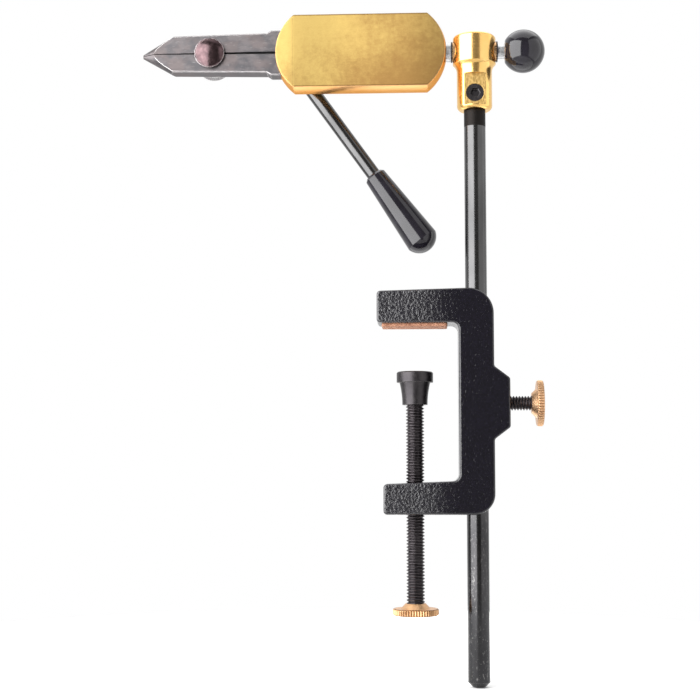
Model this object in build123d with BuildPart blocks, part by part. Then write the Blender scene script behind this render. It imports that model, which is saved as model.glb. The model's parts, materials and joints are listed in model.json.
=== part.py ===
"""Fly tying vise with a table clamp, a sliding stem and a rotary cam-lever head.

Millimetres, +Z up. The origin is on the table: the middle of the leather face under the
clamp's upper arm, on the axis of the clamp screw. +X runs back to the stem, the jaws point
to -X and +Y is the side of the cam lever.
"""
import os
from math import cos, pi, radians, sin, sqrt, tan

from build123d import *

os.makedirs("parts", exist_ok=True)

# Clearances
RUN = 0.05        # radial, for shafts and pins that turn or slide
FIT = 0.02        # radial, for parts pressed, screwed or glued together
GAP = 0.10        # between flat faces that slide past each other
END = 0.20        # axial play at the end of a screw or pin
CLEAR = 0.30      # between curved faces that never touch

# Where the stem and the head stand
STEM_X = 27.0     # stem axis behind the clamp screw
HEAD_Z = 123.3    # turning axis of the head above the table

# Clamp frame, a cast C with the stem bored through its spine
FRAME_W = 19.05
ARM_REACH = 43.4        # stem axis to the tip of the upper arm
ARM_TIP_T = 13.9
ARM_ROOT_T = 15.3
LOW_REACH = 40.6
LOW_TIP_T = 13.0
LOW_ROOT_T = 14.4
LOW_BOTTOM = 81.3       # underside of the lower arm below the table
SPINE_FRONT = 8.0       # from the stem axis
SPINE_BACK = 7.2
BOSS_OUT = 14.0
BOSS_BASE = 31.5        # height of the boss at the spine
BOSS_FACE = 21.2
TOP_ROUND = 11.0
LOW_ROUND = 9.0
THROAT_ROUND = 3.0
TIP_ROUND = 1.6
CAST_EDGE = 0.9

# Leather pad under the upper arm
LEATHER_L = 28.8
LEATHER_W = 14.5
LEATHER_T = 1.4
LEATHER_ROUND = 1.5

# Clamp screw, its swivel pad and its thumb nut
SCREW_D = 7.94
SCREW_PITCH = 1.411
PAD_TOP = 19.5          # seat of the pad below the table
PAD_D = 15.9
PAD_RIM = 4.6
PAD_H = 14.4
PAD_NECK_D = 13.4
PAD_FOOT_D = 11.0
PAD_CAP = 3.5           # metal left above the swivel socket
PAD_EDGE = 0.5
SWIVEL_D = 7.1
SWIVEL_NECK_D = 5.4
PIN_D = 1.6
PIN_UP = 4.0            # pin axis above the pad's foot
SCREW_END = 123.5       # lower end of the screw below the table
TAIL_D = 6.6

# Threads, as shares of the pitch
THREAD_DEPTH = 0.6
THREAD_CREST = 0.2

# Thumb nut and lock knob share one turned shape
NUT_D = 20.0
NUT_DISC = 2.8
NUT_CONE = 2.2
NUT_CONE_D = 8.8
NUT_CONE_BASE_D = 13.0
NUT_LIP = 1.0           # metal beyond the screw's end
KNURL_N = 52
KNURL_DEPTH = 0.45
KNURL_CHAMFER = 0.5

# Lock screw with its bronze plug
LOCK_DROP = 33.3        # axis below the table
LOCK_D = 6.35
LOCK_PITCH = 1.27
LOCK_OUT = 23.6         # stem axis to the knob's cone
PLUG_L = 2.4
LOCK_TIP_D = 4.6
LOCK_TIP_L = 1.2
LOCK_TAIL_D = 5.0

# Stem
STEM_D = 9.525
STEM_FOOT = 154.5       # lower end below the table
STEM_CHAMFER = 1.9
TENON_D = 6.35
TENON_L = 14.0
TENON_GROOVE_D = 5.0

# Yoke, turned, with a cross bore for the head shaft
YOKE_D = 19.05
YOKE_UP = 6.8           # from the head axis to the top
YOKE_DOWN = 5.8         # from the head axis to the end of the large diameter
YOKE_FLARE = 3.8
YOKE_NECK_D = 15.6
YOKE_DROP = 26.9        # from the head axis to the bottom
YOKE_TOP_ROUND = 1.4
YOKE_FOOT_ROUND = 2.2
FLAT_W = 9.5            # width of the flat milled on the neck
FLAT_LOW = 1.5          # from the bottom of the yoke
FLAT_H = 14.2
SET_UP = 6.9            # set screw above the bottom of the yoke
SET_D = 7.94
SET_SINK = 0.2
SET_HEX = 4.0
SET_HEX_DEPTH = 1.9
SET_TIP_D = 3.2
SET_TIP_L = 0.5

# Head shaft and what runs on it
SHAFT_D = 8.5           # collar seen in front of the yoke
JOURNAL_D = 5.0
SHAFT_SINK = 21.5       # length held in the body
BUSH_D = 8.6
BUSH_L = 6.4
BUSH_OUT = 9.7          # ends of the bushes from the stem axis, just proud of the yoke
WASHER_D = 9.2
WASHER_T = 0.5
SLEEVE_D = 6.35
BALL_D = 19.05
BALL_FLAT_OUT = 13.6    # flat of the ball behind the stem axis
BALL_FLAT_D = 9.9
INSERT_D = 8.0
INSERT_L = 11.0
SHAFT_IN_BALL = 10.0

# Head body, a turned bar with two milled flats
BODY_BACK = 12.2        # rear tip ahead of the stem axis
BODY_L = 76.8
BODY_D = 34.92
BODY_FLATS = 12.7
BODY_SAG = 8.7          # rise of the rounded ends
NOSE_BEVEL_L = 8.4
NOSE_W = 10.5

# Jaws
JAW_T = 8.0
JAW_OUT = 59.6          # tip ahead of the body's nose
JAW_TIP_R = 0.9
JAW_CONE = 29.5         # half angle of the ground tip
JAW_FRONT_H = 7.9
JAW_REAR_H = 9.0
JAW_TAIL_H = 10.2
SHOULDER_OUT = 3.4      # shoulder ahead of the nose
SHOULDER_L = 1.7
JAW_TAIL_IN = 19.0      # tails behind the nose
SEAM_TIP = 0.13
SEAM_TAIL = 1.36
JAW_EDGE = 0.4

# Jaw screw, washer and knurled nut
PIVOT_OUT = 29.0        # pivot ahead of the nose
PIVOT_D = 5.0
HEAD_D = 13.3
HEAD_RIM = 1.5
HEAD_LEDGE = 0.6        # step between the rim and the dome
HEAD_DOME = 1.5
JAW_WASHER_D = 14.0
JAW_WASHER_T = 1.0
JAW_NUT_D = 16.5
JAW_NUT_T = 6.2
JAW_NUT_BOSS_D = 12.0
JAW_NUT_BOSS = 1.2

# Jaw spring, ahead of the pivot
SPRING_OUT = 10.0       # ahead of the pivot
SPRING_D = 3.4          # mean diameter
SPRING_WIRE = 0.5
SPRING_TURNS = 5
SPRING_DEPTH = 3.2      # depth of its pocket in each jaw

# Cam shaft and lever
CAM_IN = 6.0            # cam axis behind the nose
CAM_MAJOR = 3.9
CAM_MINOR = 3.2
CAM_W = 5.0
CAM_NECK_D = 5.0
CAM_SWING = 0.45        # room that a tail needs to close on the cam
JOURNAL_FAR_D = 8.2
JOURNAL_NEAR_L = 1.0
HUB_D = 12.0
HUB_L = 7.8
LEVER_ANGLE = 35.7      # from straight down, toward the stem
ROD_D = 6.35
ROD_TENON_D = 4.8
HANDLE_START = 65.0     # along the rod from the cam axis
HANDLE_L = 42.4
HANDLE_D = 9.9
HANDLE_END_D = 14.7
HANDLE_SWELL = 37.0     # from its start to its largest diameter
HANDLE_EDGE = 1.0
HANDLE_INSERT_D = 7.2
HANDLE_INSERT_L = 22.0
ROD_IN_HANDLE = 18.0
ROD_TIP_D = 5.0

# Places that follow from the sizes above
PAD_FOOT = PAD_TOP + PAD_H
YOKE_FOOT = HEAD_Z - YOKE_DROP
SET_Z = YOKE_FOOT + SET_UP
NOSE = BODY_BACK + BODY_L
TIP = NOSE + JAW_OUT
PIVOT = NOSE + PIVOT_OUT
CAM = NOSE - CAM_IN
TAIL = NOSE - JAW_TAIL_IN
HUB_Y = BODY_FLATS / 2 + CLEAR + HUB_L / 2

TURN_Z = Axis((STEM_X, 0, 0), (0, 0, 1))
TURN_SCREW = Axis((0, 0, 0), (0, 0, 1))
TURN_HEAD = Axis((STEM_X, 0, HEAD_Z), (-1, 0, 0))
TURN_LOCK = Axis((STEM_X, 0, -LOCK_DROP), (1, 0, 0))
# Sketch planes: the first number of a point runs along the axis named, the second is outward
HEAD = Plane(origin=(STEM_X, 0, HEAD_Z), x_dir=(-1, 0, 0), z_dir=(0, 1, 0))
LOCK = Plane(origin=(STEM_X, 0, -LOCK_DROP), x_dir=(1, 0, 0), z_dir=(0, -1, 0))
SIDE = Plane(origin=(0, 0, 0), x_dir=(1, 0, 0), z_dir=(0, -1, 0))
STEM = Plane(origin=(STEM_X, 0, 0), x_dir=(1, 0, 0), z_dir=(0, -1, 0))
PIVOT_PLANE = Plane(origin=(STEM_X - PIVOT, 0, HEAD_Z), x_dir=(1, 0, 0), z_dir=(0, 1, 0))
CAM_PLANE = Plane(origin=(STEM_X - CAM, 0, HEAD_Z), x_dir=(1, 0, 0), z_dir=(0, 1, 0))
LEVER_DIR = Vector(sin(radians(LEVER_ANGLE)), 0, -cos(radians(LEVER_ANGLE)))
LEVER = Plane(origin=(STEM_X - CAM, HUB_Y, HEAD_Z), x_dir=LEVER_DIR, z_dir=(0, 1, 0))
TURN_LEVER = Axis((STEM_X - CAM, HUB_Y, HEAD_Z), LEVER_DIR)


def export(part, name):
    """Label one finished piece and write its STEP file."""
    part.label = name
    export_step(part, f"parts/{name}.step")


def thread(radius, pitch, start, end):
    """Outline points (along, radius) of a threaded length, its turns drawn as V grooves."""
    depth = THREAD_DEPTH * pitch
    crest = THREAD_CREST * pitch
    count = int((end - start) / pitch)
    first = start + ((end - start) - count * pitch) / 2
    points = [(start, radius - depth)]
    for turn in range(count):
        root = first + turn * pitch
        points.append((root, radius - depth))
        points.append((root + (pitch - crest) / 2, radius))
        points.append((root + (pitch + crest) / 2, radius))
    points.append((end, radius - depth))
    return points


def knurl(radius, count, depth):
    """Corner points of a straight-knurled circle."""
    points = []
    for tooth in range(2 * count):
        angle = pi * tooth / count
        reach = radius - depth * (tooth % 2)
        points.append((reach * cos(angle), reach * sin(angle)))
    return points


def swap(points):
    """Turn (along, radius) points into (radius, along) for the upright sketch planes."""
    return [(radius, along) for along, radius in points]


# Clamp frame
arm_tip = STEM_X - ARM_REACH
low_tip = STEM_X - LOW_REACH
spine_front = STEM_X - SPINE_FRONT
spine_back = STEM_X + SPINE_BACK
boss_x = STEM_X + BOSS_OUT
low_top = -LOW_BOTTOM + LOW_ROOT_T
frame_outline = [
    (arm_tip, LEATHER_T + ARM_TIP_T, TIP_ROUND),
    (spine_back, LEATHER_T + ARM_ROOT_T, TOP_ROUND),
    (spine_back, -LOCK_DROP + BOSS_BASE / 2, TIP_ROUND),
    (boss_x, -LOCK_DROP + BOSS_FACE / 2, TIP_ROUND),
    (boss_x, -LOCK_DROP - BOSS_FACE / 2, TIP_ROUND),
    (spine_back, -LOCK_DROP - BOSS_BASE / 2, TIP_ROUND),
    (spine_back, -LOW_BOTTOM, LOW_ROUND),
    (low_tip, -LOW_BOTTOM, TIP_ROUND),
    (low_tip, -LOW_BOTTOM + LOW_TIP_T, TIP_ROUND),
    (spine_front, low_top, THROAT_ROUND),
    (spine_front, LEATHER_T, THROAT_ROUND),
    (arm_tip, LEATHER_T, TIP_ROUND),
]
with BuildPart() as clamp_frame:
    with BuildSketch(SIDE):
        with BuildLine():
            FilletPolyline(
                *[(x, z) for x, z, _ in frame_outline],
                radius=[r for _, _, r in frame_outline],
                close=True,
            )
        make_face()
    extrude(amount=FRAME_W / 2, both=True)
    fillet(clamp_frame.edges().filter_by(Plane.XZ), radius=CAST_EDGE)
    with BuildSketch(Plane.XY.offset(-LOW_BOTTOM - CLEAR)):
        with Locations((STEM_X, 0)):
            Circle(STEM_D / 2 + RUN)
    extrude(amount=LOW_BOTTOM + LEATHER_T + ARM_ROOT_T + 2 * CLEAR, mode=Mode.SUBTRACT)
    with BuildSketch(Plane.XY.offset(-LOW_BOTTOM - CLEAR)):
        Circle(SCREW_D / 2 + RUN)
    extrude(amount=LOW_ROOT_T + 2 * CLEAR, mode=Mode.SUBTRACT)
    with BuildSketch(Plane.YZ.offset(STEM_X)):
        with Locations((0, -LOCK_DROP)):
            Circle(LOCK_D / 2 + RUN)
    extrude(amount=BOSS_OUT + CLEAR, mode=Mode.SUBTRACT)
export(clamp_frame.part, "clamp_frame")

# Leather pad
with BuildPart() as table_pad:
    with BuildSketch():
        RectangleRounded(LEATHER_L, LEATHER_W, LEATHER_ROUND)
    extrude(amount=LEATHER_T)
export(table_pad.part, "table_pad")

# Swivel pad on the clamp screw
with BuildPart() as clamp_pad:
    with BuildSketch(SIDE):
        with BuildLine():
            Polyline(
                (0, -PAD_TOP),
                (PAD_D / 2 - PAD_EDGE, -PAD_TOP),
                (PAD_D / 2, -PAD_TOP - PAD_EDGE),
                (PAD_D / 2, -PAD_TOP - PAD_RIM),
                (PAD_NECK_D / 2, -PAD_TOP - PAD_RIM),
            )
            TangentArc(
                (PAD_FOOT_D / 2, -PAD_FOOT), (PAD_NECK_D / 2, -PAD_TOP - PAD_RIM), tangent=(0, 1)
            )
            Polyline((PAD_FOOT_D / 2, -PAD_FOOT), (0, -PAD_FOOT), (0, -PAD_TOP))
        make_face()
    revolve(axis=TURN_SCREW)
    with BuildSketch(Plane.XY.offset(-PAD_FOOT)):
        Circle(SWIVEL_D / 2 + CLEAR / 2)
    extrude(amount=PAD_H - PAD_CAP, mode=Mode.SUBTRACT)
    pin_y = SWIVEL_NECK_D / 2 + PIN_D / 2 + GAP
    with BuildSketch(Plane.YZ):
        with Locations((pin_y, -PAD_FOOT + PIN_UP)):
            Circle(PIN_D / 2 + FIT)
    extrude(amount=PAD_D, both=True, mode=Mode.SUBTRACT)
export(clamp_pad.part, "clamp_pad")

pin_l = 2 * sqrt((PAD_FOOT_D / 2) ** 2 - pin_y ** 2)
with BuildPart() as pad_pin:
    with BuildSketch(Plane.YZ):
        with Locations((pin_y, -PAD_FOOT + PIN_UP)):
            Circle(PIN_D / 2)
    extrude(amount=pin_l / 2, both=True)
export(pad_pin.part, "pad_pin")

# Clamp screw
swivel_top = -PAD_TOP - PAD_CAP - END
neck_half = PIN_D / 2 + GAP
neck_z = -PAD_FOOT + PIN_UP
nut_top = -SCREW_END + NUT_DISC + NUT_CONE - NUT_LIP
with BuildPart() as clamp_screw:
    with BuildSketch(SIDE):
        with BuildLine():
            Polyline(
                (0, swivel_top),
                (SWIVEL_D / 2, swivel_top),
                (SWIVEL_D / 2, neck_z + neck_half),
                (SWIVEL_NECK_D / 2, neck_z + neck_half),
                (SWIVEL_NECK_D / 2, neck_z - neck_half),
                (SWIVEL_D / 2, neck_z - neck_half),
                (SWIVEL_D / 2, -PAD_FOOT - CLEAR),
                *reversed(swap(thread(SCREW_D / 2, SCREW_PITCH, nut_top, -PAD_FOOT - CLEAR))),
                (TAIL_D / 2, nut_top),
                (TAIL_D / 2, -SCREW_END),
                (0, -SCREW_END),
                close=True,
            )
        make_face()
    revolve(axis=TURN_SCREW)
export(clamp_screw.part, "clamp_screw")


def thumb_nut(plane, axis, tail_d):
    """Knurled nut whose cone starts at the plane's origin and whose disc ends along +x."""
    full = NUT_CONE + NUT_DISC
    with BuildPart() as nut:
        with BuildSketch(Plane(plane.origin, x_dir=plane.y_dir, z_dir=plane.x_dir)):
            Polygon(*knurl(NUT_D / 2, KNURL_N, KNURL_DEPTH), align=None)
        extrude(amount=full)
        with BuildSketch(plane):
            with BuildLine():
                Polyline(
                    (0, 0),
                    (0, NUT_CONE_D / 2),
                    (NUT_CONE, NUT_CONE_BASE_D / 2),
                    (NUT_CONE, NUT_D / 2 - KNURL_CHAMFER),
                    (NUT_CONE + KNURL_CHAMFER, NUT_D / 2),
                    (full - KNURL_CHAMFER, NUT_D / 2),
                    (full, NUT_D / 2 - KNURL_CHAMFER),
                    (full, 0),
                    close=True,
                )
            make_face()
        revolve(axis=axis, mode=Mode.INTERSECT)
        with BuildSketch(Plane(plane.origin, x_dir=plane.y_dir, z_dir=plane.x_dir)):
            Circle(tail_d / 2 + FIT)
        extrude(amount=full - NUT_LIP + END, mode=Mode.SUBTRACT)
    return nut.part


nut_plane = Plane(origin=(0, 0, nut_top), x_dir=(0, 0, -1), z_dir=(0, -1, 0))
clamp_thumb_nut = thumb_nut(nut_plane, TURN_SCREW, TAIL_D)
export(clamp_thumb_nut, "clamp_thumb_nut")

# Lock screw, its plug and its knob
plug_in = STEM_D / 2 + GAP
with BuildPart() as lock_plug:
    with BuildSketch(Plane.YZ.offset(STEM_X + plug_in)):
        with Locations((0, -LOCK_DROP)):
            Circle(LOCK_D / 2 - RUN)
    extrude(amount=PLUG_L)
export(lock_plug.part, "lock_plug")

lock_in = plug_in + PLUG_L + GAP
lock_end = LOCK_OUT + NUT_CONE + NUT_DISC - NUT_LIP
with BuildPart() as lock_screw:
    with BuildSketch(LOCK):
        with BuildLine():
            Polyline(
                (lock_in, 0),
                (lock_in, LOCK_TIP_D / 2),
                (lock_in + LOCK_TIP_L, LOCK_TIP_D / 2),
                *thread(LOCK_D / 2, LOCK_PITCH, lock_in + LOCK_TIP_L, LOCK_OUT),
                (LOCK_OUT, LOCK_TAIL_D / 2),
                (lock_end, LOCK_TAIL_D / 2),
                (lock_end, 0),
                close=True,
            )
        make_face()
    revolve(axis=TURN_LOCK)
export(lock_screw.part, "lock_screw")

knob_plane = Plane(origin=(STEM_X + LOCK_OUT, 0, -LOCK_DROP), x_dir=(1, 0, 0), z_dir=(0, -1, 0))
lock_knob = thumb_nut(knob_plane, TURN_LOCK, LOCK_TAIL_D)
export(lock_knob, "lock_knob")

# Stem
groove_half = SET_TIP_D / 2 + GAP
with BuildPart() as stem:
    with BuildSketch(STEM):
        with BuildLine():
            Polyline(
                (0, -STEM_FOOT),
                (STEM_D / 2 - STEM_CHAMFER, -STEM_FOOT),
                (STEM_D / 2, -STEM_FOOT + STEM_CHAMFER),
                (STEM_D / 2, YOKE_FOOT - GAP),
                (TENON_D / 2, YOKE_FOOT - GAP),
                (TENON_D / 2, SET_Z - groove_half),
                (TENON_GROOVE_D / 2, SET_Z - groove_half),
                (TENON_GROOVE_D / 2, SET_Z + groove_half),
                (TENON_D / 2, SET_Z + groove_half),
                (TENON_D / 2, YOKE_FOOT + TENON_L - END),
                (0, YOKE_FOOT + TENON_L - END),
                close=True,
            )
        make_face()
    revolve(axis=TURN_Z)
export(stem.part, "stem")

# Yoke
flat_y = sqrt((YOKE_NECK_D / 2) ** 2 - (FLAT_W / 2) ** 2)
with BuildPart() as yoke:
    with BuildSketch(STEM):
        with BuildLine():
            Polyline(
                (YOKE_D / 2, HEAD_Z - YOKE_DOWN),
                (YOKE_D / 2, HEAD_Z + YOKE_UP),
                (0, HEAD_Z + YOKE_UP),
                (0, YOKE_FOOT),
                (YOKE_NECK_D / 2, YOKE_FOOT),
                (YOKE_NECK_D / 2, HEAD_Z - YOKE_DOWN - YOKE_FLARE),
            )
            TangentArc(
                (YOKE_NECK_D / 2, HEAD_Z - YOKE_DOWN - YOKE_FLARE),
                (YOKE_D / 2, HEAD_Z - YOKE_DOWN),
                tangent=(0, 1),
            )
        make_face()
    revolve(axis=TURN_Z)
    fillet(yoke.edges().sort_by(Axis.Z)[-1], radius=YOKE_TOP_ROUND)
    fillet(yoke.edges().sort_by(Axis.Z)[0], radius=YOKE_FOOT_ROUND)
    with BuildSketch(Plane.XY.offset(YOKE_FOOT + FLAT_LOW)):
        with Locations((STEM_X, -flat_y)):
            Rectangle(YOKE_D, YOKE_D, align=(Align.CENTER, Align.MAX))
    extrude(amount=FLAT_H, mode=Mode.SUBTRACT)
    with BuildSketch(Plane.XY.offset(YOKE_FOOT)):
        with Locations((STEM_X, 0)):
            Circle(TENON_D / 2 + RUN)
    extrude(amount=TENON_L, mode=Mode.SUBTRACT)
    with BuildSketch(Plane(origin=(STEM_X, 0, SET_Z), x_dir=(1, 0, 0), z_dir=(0, -1, 0))):
        Circle(SET_D / 2 + FIT)
    extrude(amount=YOKE_D, mode=Mode.SUBTRACT)
    with BuildSketch(Plane.YZ.offset(STEM_X)):
        with Locations((0, HEAD_Z)):
            Circle(BUSH_D / 2 + FIT)
    extrude(amount=YOKE_D, both=True, mode=Mode.SUBTRACT)
export(yoke.part, "yoke")

# Socket set screw in the neck of the yoke
set_in = TENON_D / 2 + RUN + GAP
set_out = flat_y - SET_SINK
with BuildPart() as yoke_set_screw:
    with BuildSketch(Plane(origin=(STEM_X, -set_in, SET_Z), x_dir=(1, 0, 0), z_dir=(0, -1, 0))):
        Circle(SET_D / 2)
    extrude(amount=set_out - set_in)
    with BuildSketch(Plane(origin=(STEM_X, -set_in, SET_Z), x_dir=(1, 0, 0), z_dir=(0, 1, 0))):
        Circle(SET_TIP_D / 2)
    extrude(amount=SET_TIP_L)
    with BuildSketch(Plane(origin=(STEM_X, -set_out, SET_Z), x_dir=(1, 0, 0), z_dir=(0, 1, 0))):
        RegularPolygon(SET_HEX / 2, 6, major_radius=False)
    extrude(amount=SET_HEX_DEPTH, mode=Mode.SUBTRACT)
export(yoke_set_screw.part, "yoke_set_screw")


def ring(inner, outer, start, end):
    """Plain ring about the head axis between two distances ahead of the stem axis."""
    with BuildPart() as tube:
        with BuildSketch(Plane.YZ.offset(STEM_X - end)):
            with Locations((0, HEAD_Z)):
                Circle(outer)
                Circle(inner, mode=Mode.SUBTRACT)
        extrude(amount=end - start)
    return tube.part


# Bushes, washers and the tension sleeve on the head shaft
bore_r = JOURNAL_D / 2 + RUN
front_bush = ring(bore_r, BUSH_D / 2, BUSH_OUT - BUSH_L, BUSH_OUT)
rear_bush = ring(bore_r, BUSH_D / 2, -BUSH_OUT, BUSH_L - BUSH_OUT)
thrust_washer = ring(bore_r, WASHER_D / 2, BUSH_OUT + GAP, BUSH_OUT + GAP + WASHER_T)
rear_washer = ring(bore_r, WASHER_D / 2, -BUSH_OUT - GAP - WASHER_T, -BUSH_OUT - GAP)
washer_end = BUSH_OUT + 2 * GAP + WASHER_T
tension_sleeve = ring(bore_r, SLEEVE_D / 2, GAP - BALL_FLAT_OUT, -washer_end)
export(front_bush, "front_bush")
export(rear_bush, "rear_bush")
export(thrust_washer, "thrust_washer")
export(rear_washer, "rear_washer")
export(tension_sleeve, "tension_sleeve")

# Head shaft: pressed into the body, collar against the thrust washer, tail into the ball
shaft_tail = -BALL_FLAT_OUT - SHAFT_IN_BALL
with BuildPart() as head_shaft:
    with BuildSketch(HEAD):
        with BuildLine():
            Polyline(
                (BODY_BACK + SHAFT_SINK, 0),
                (BODY_BACK + SHAFT_SINK, SHAFT_D / 2),
                (washer_end, SHAFT_D / 2),
                (washer_end, JOURNAL_D / 2),
                (shaft_tail, JOURNAL_D / 2),
                (shaft_tail, 0),
                close=True,
            )
        make_face()
    revolve(axis=TURN_HEAD)
export(head_shaft.part, "head_shaft")

# Ball knob with its threaded insert
ball_x = -BALL_FLAT_OUT - sqrt((BALL_D / 2) ** 2 - (BALL_FLAT_D / 2) ** 2)
insert_end = -BALL_FLAT_OUT - INSERT_L
with BuildPart() as ball_knob:
    with BuildSketch(HEAD):
        with BuildLine():
            Polyline((ball_x - BALL_D / 2, 0), (-BALL_FLAT_OUT, 0), (-BALL_FLAT_OUT, BALL_FLAT_D / 2))
            ThreePointArc(
                (-BALL_FLAT_OUT, BALL_FLAT_D / 2),
                (ball_x, BALL_D / 2),
                (ball_x - BALL_D / 2, 0),
            )
        make_face()
    revolve(axis=TURN_HEAD)
    with BuildSketch(Plane.YZ.offset(STEM_X + BALL_FLAT_OUT)):
        with Locations((0, HEAD_Z)):
            Circle(INSERT_D / 2 + FIT)
    extrude(amount=INSERT_L + FIT, mode=Mode.SUBTRACT)
export(ball_knob.part, "ball_knob")

with BuildPart() as ball_insert:
    with BuildSketch(Plane.YZ.offset(STEM_X + BALL_FLAT_OUT)):
        with Locations((0, HEAD_Z)):
            Circle(INSERT_D / 2)
    extrude(amount=INSERT_L)
    with BuildSketch(Plane.YZ.offset(STEM_X + BALL_FLAT_OUT)):
        with Locations((0, HEAD_Z)):
            Circle(bore_r)
    extrude(amount=SHAFT_IN_BALL + END, mode=Mode.SUBTRACT)
export(ball_insert.part, "ball_insert")

# Head body
half_flat = BODY_FLATS / 2
slot_half = JAW_T / 2 + GAP
slot_top = JAW_TAIL_H + CLEAR
with BuildPart() as head_body:
    with BuildSketch(HEAD):
        with BuildLine():
            Polyline((NOSE, 0), (BODY_BACK, 0))
            TangentArc((BODY_BACK, 0), (BODY_BACK + BODY_SAG, BODY_D / 2), tangent=(0, 1))
            Line((BODY_BACK + BODY_SAG, BODY_D / 2), (NOSE - BODY_SAG, BODY_D / 2))
            TangentArc((NOSE, 0), (NOSE - BODY_SAG, BODY_D / 2), tangent=(0, 1))
        make_face()
    revolve(axis=TURN_HEAD)
    with BuildSketch(Plane(origin=(STEM_X, 0, HEAD_Z), x_dir=(-1, 0, 0), z_dir=(0, 0, -1))):
        with BuildLine():
            Polyline(
                (BODY_BACK, -half_flat),
                (NOSE - NOSE_BEVEL_L, -half_flat),
                (NOSE, -NOSE_W / 2),
                (NOSE, NOSE_W / 2),
                (NOSE - NOSE_BEVEL_L, half_flat),
                (BODY_BACK, half_flat),
                close=True,
            )
        make_face()
    extrude(amount=BODY_D, both=True, mode=Mode.INTERSECT)
    with BuildSketch(HEAD):
        with Locations((TAIL - CLEAR, 0)):
            Rectangle(JAW_TAIL_IN + 2 * CLEAR, 2 * slot_top, align=(Align.MIN, Align.CENTER))
    extrude(amount=slot_half, both=True, mode=Mode.SUBTRACT)
    with BuildSketch(CAM_PLANE):
        Circle(JOURNAL_FAR_D / 2 + RUN)
    extrude(amount=BODY_FLATS, mode=Mode.SUBTRACT)
    with BuildSketch(CAM_PLANE):
        Circle(CAM_NECK_D / 2 + RUN)
    extrude(amount=-slot_half - JOURNAL_NEAR_L - GAP, mode=Mode.SUBTRACT)
    with BuildSketch(Plane.YZ.offset(STEM_X - BODY_BACK)):
        with Locations((0, HEAD_Z)):
            Circle(SHAFT_D / 2 + FIT)
    extrude(amount=-SHAFT_SINK, mode=Mode.SUBTRACT)
export(head_body.part, "head_body")


def jaw(side):
    """One jaw: side is 1 for the upper and -1 for the lower."""
    cone_r = JAW_TAIL_H + JAW_T
    cone_l = (cone_r - JAW_TIP_R) / tan(radians(JAW_CONE))
    with BuildPart() as bar:
        with BuildSketch(HEAD):
            with BuildLine():
                Polyline(
                    (TIP, side * SEAM_TIP / 2),
                    (TIP, side * JAW_FRONT_H),
                    (NOSE + SHOULDER_OUT, side * JAW_REAR_H),
                    (NOSE + SHOULDER_OUT - SHOULDER_L, side * JAW_TAIL_H),
                    (TAIL, side * JAW_TAIL_H),
                    (TAIL, side * SEAM_TAIL / 2),
                    close=True,
                )
            make_face()
        extrude(amount=JAW_T / 2, both=True)
        sides = bar.edges().filter_by(Plane.XZ)
        chamfer(sides.filter_by(lambda e: abs(e.center().Z - HEAD_Z) > JAW_FRONT_H), length=JAW_EDGE)
        with BuildSketch(HEAD):
            with BuildLine():
                Polyline(
                    (TAIL, 0),
                    (TIP, 0),
                    (TIP, JAW_TIP_R),
                    (TIP - cone_l, cone_r),
                    (TAIL, cone_r),
                    close=True,
                )
            make_face()
        revolve(axis=TURN_HEAD, mode=Mode.INTERSECT)
        with BuildSketch(PIVOT_PLANE):
            Circle(PIVOT_D / 2 + RUN)
        extrude(amount=JAW_T, both=True, mode=Mode.SUBTRACT)
        with BuildSketch(CAM_PLANE):
            Rectangle(2 * (CAM_MAJOR + CLEAR), 2 * (CAM_MAJOR + END))
        extrude(amount=CAM_W / 2 + CLEAR, both=True, mode=Mode.SUBTRACT)
        with BuildSketch(CAM_PLANE):
            Rectangle(CAM_NECK_D + 2 * CLEAR, CAM_NECK_D + 2 * (CAM_SWING + GAP))
        extrude(amount=JAW_T, both=True, mode=Mode.SUBTRACT)
        with BuildSketch(Plane.XY.offset(HEAD_Z)):
            with Locations((STEM_X - PIVOT - SPRING_OUT, 0)):
                Circle(SPRING_D / 2 + SPRING_WIRE / 2 + CLEAR)
        extrude(amount=side * SPRING_DEPTH, mode=Mode.SUBTRACT)
    return bar.part


upper_jaw = jaw(1)
lower_jaw = jaw(-1)
export(upper_jaw, "upper_jaw")
export(lower_jaw, "lower_jaw")

# Jaw screw with a low domed head on the near side
head_in = JAW_T / 2 + GAP
head_out = head_in + HEAD_RIM + HEAD_DOME
screw_far = head_in + JAW_WASHER_T + 2 * GAP + JAW_NUT_T
dome_edge = (head_in + HEAD_RIM, HEAD_D / 2 - HEAD_LEDGE)
with BuildPart() as jaw_screw:
    with BuildSketch(Plane(PIVOT_PLANE.origin, x_dir=(0, -1, 0), z_dir=(0, 0, 1))):
        with BuildLine():
            Polyline(
                (head_out, 0),
                (-screw_far, 0),
                (-screw_far, PIVOT_D / 2),
                (head_in, PIVOT_D / 2),
                (head_in, HEAD_D / 2),
                (head_in + HEAD_RIM, HEAD_D / 2),
                dome_edge,
            )
            TangentArc((head_out, 0), dome_edge, tangent=(0, 1))
        make_face()
    revolve(axis=Axis(PIVOT_PLANE.origin, (0, 1, 0)))
export(jaw_screw.part, "jaw_screw")

with BuildPart() as jaw_washer:
    with BuildSketch(PIVOT_PLANE.offset(head_in)):
        Circle(JAW_WASHER_D / 2)
        Circle(PIVOT_D / 2 + RUN, mode=Mode.SUBTRACT)
    extrude(amount=JAW_WASHER_T)
export(jaw_washer.part, "jaw_washer")

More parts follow.
